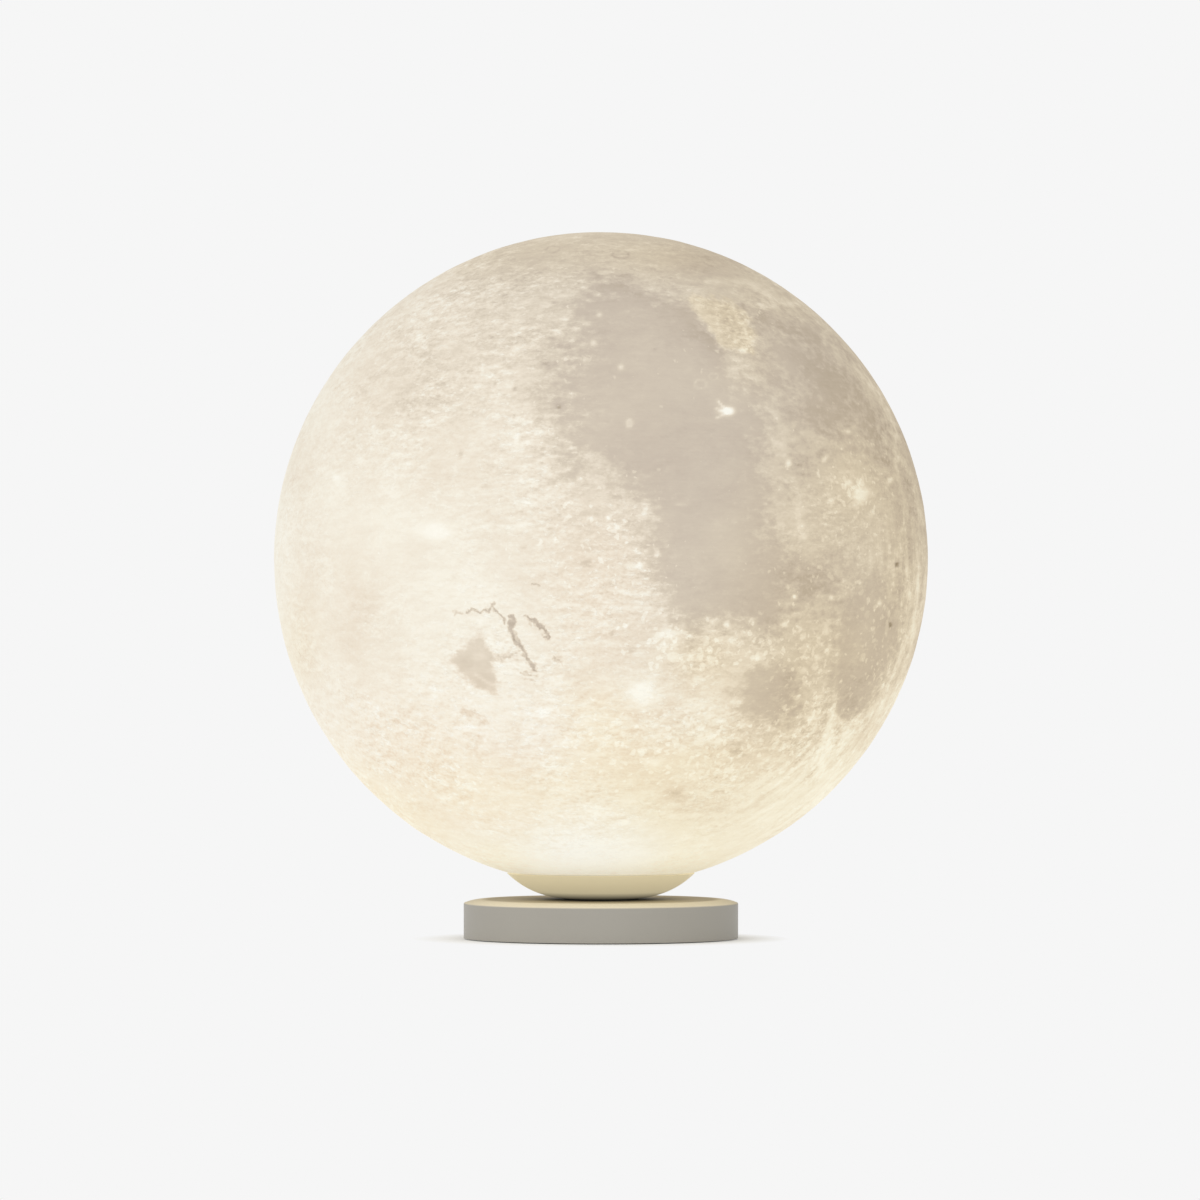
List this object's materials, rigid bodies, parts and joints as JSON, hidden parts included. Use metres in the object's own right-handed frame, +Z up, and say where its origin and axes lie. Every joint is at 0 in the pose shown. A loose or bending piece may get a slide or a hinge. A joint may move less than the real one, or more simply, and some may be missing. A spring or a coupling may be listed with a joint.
{
  "type": "moon lamp",
  "caption": "Table lamp: a lit globe with the Moon's relief, resting in a cream bowl on a low round weighted base with a rechargeable battery.",
  "frame": {"origin": "on the table under the middle of the base", "axes": "+Z up, front of the lamp towards -Y, charging socket towards +Y"},
  "size_m": [0.2, 0.2, 0.2162],
  "materials": {
    "moon_shell": "printed white plastic with the shades of the Moon, lit from inside",
    "cream_plastic": "moulded, matt",
    "bowl_plastic": "moulded, matt cream",
    "inner_plastic": "moulded, white",
    "spring_steel": "bare spring steel",
    "rivet_metal": "bare",
    "screw_steel": "zinc plated",
    "black_rubber": "moulded rubber",
    "spreader_metal": "turned",
    "white_board": "white solder mask",
    "chip_phosphor": "phosphor over the chips, lit",
    "opal_plastic": "opal, lit from inside",
    "base_paint": "satin warm grey",
    "cover_paint": "matt dark grey powder coat",
    "dark_screw": "blackened",
    "foot_rubber": "soft silicone rubber",
    "ballast_steel": "zinc plated plate",
    "pouch_foil": "laminated foil",
    "grey_foam": "closed-cell foam tape",
    "amber_tape": "amber film",
    "white_plug": "moulded",
    "red_wire": "soft insulation",
    "black_wire": "soft insulation",
    "green_board": "green solder mask",
    "black_chip": "moulded packages",
    "socket_steel": "plated",
    "socket_plastic": "moulded",
    "switch_plastic": "moulded with a plated cover",
    "plunger_plastic": "moulded",
    "button_paint": "satin warm grey",
    "clear_plastic": "clear moulded rod"
  },
  "bodies": {
    "base": {"seat_bowl": "bowl_plastic", "collar_plate": "inner_plastic", "spring_clips": "spring_steel", "clip_rivets": "rivet_metal", "collar_screws": "screw_steel", "seat_screws": "screw_steel", "seat_gasket": "black_rubber", "wire_grommet": "black_rubber", "led_post": "inner_plastic", "heat_spreader": "spreader_metal", "led_board": "white_board", "led_chips": "chip_phosphor", "led_board_screws": "screw_steel", "led_diffuser": "opal_plastic", "base_housing": "base_paint", "bottom_cover": "cover_paint", "cover_screws": "dark_screw", "foot_ring": "foot_rubber", "ballast_ring": "ballast_steel", "battery_cell": "pouch_foil", "battery_pad": "grey_foam", "battery_tab": "amber_tape", "battery_plug": "white_plug", "battery_lead_red": "red_wire", "battery_lead_black": "black_wire", "control_board": "green_board", "board_chips": "black_chip", "board_screws": "screw_steel", "usb_c_shell": "socket_steel", "usb_c_tongue": "socket_plastic", "tact_switch": "switch_plastic", "status_light_pipe": "clear_plastic", "led_lead_red": "red_wire", "led_lead_black": "black_wire"},
    "globe": {"moon_globe": "moon_shell", "neck_ring": "cream_plastic"},
    "button": {"power_button": "button_paint", "switch_plunger": "plunger_plastic"}
  },
  "joints": [
    {"name": "globe_lift", "type": "slide", "parent": "base", "child": "globe", "axis": [0, 0, 1], "range_m": [0, 0.06]},
    {"name": "power_button_press", "type": "slide", "parent": "base", "child": "button", "axis": [-0.4226, -0.9063, 0], "range_m": [0, 0.0004], "stiffness_N_per_m": 3200}
  ]
}
